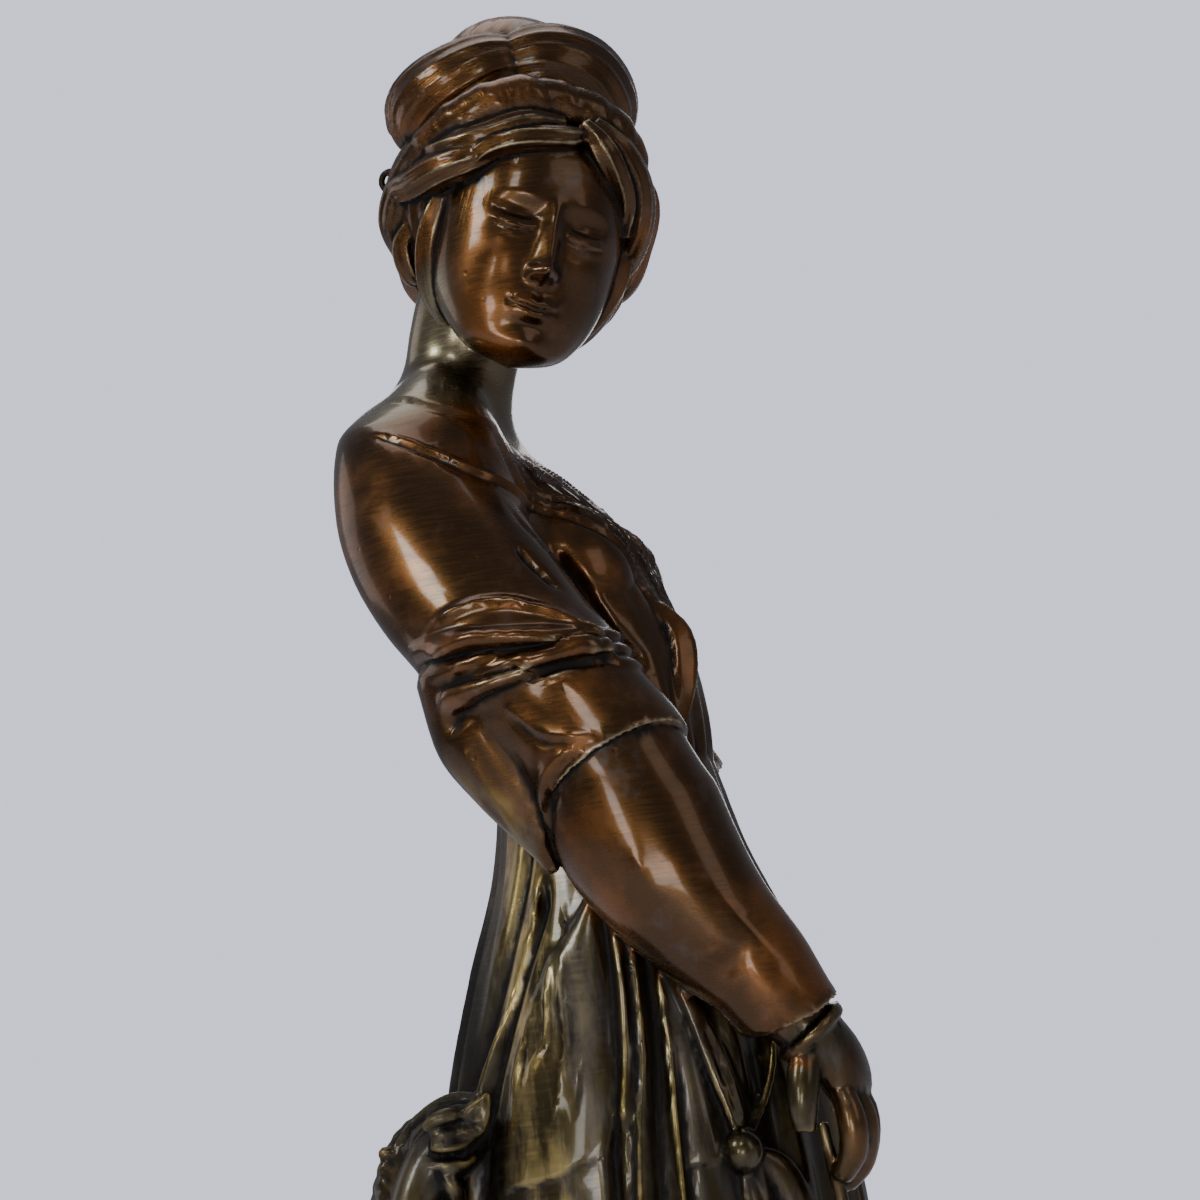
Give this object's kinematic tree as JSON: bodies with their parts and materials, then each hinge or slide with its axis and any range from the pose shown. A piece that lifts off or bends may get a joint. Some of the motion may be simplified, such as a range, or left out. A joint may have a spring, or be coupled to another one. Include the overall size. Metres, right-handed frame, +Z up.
{
  "type": "goddess statue",
  "caption": "Standing bronze goddess in a long pleated robe, head turned under a coiled crown of hair, a small mythic beast behind her hip, on a low oval base.",
  "frame": {"origin": "middle of the flat underside of the base", "axes": "+Z up through the figure, -Y out of her front, -X to her right"},
  "size_m": [0.0876, 0.1, 0.3009],
  "materials": {
    "bronze": "dark brown patina, polished, golden where rubbed and blackened in the folds"
  },
  "bodies": {
    "root": {"statue": "bronze"}
  },
  "joints": []
}
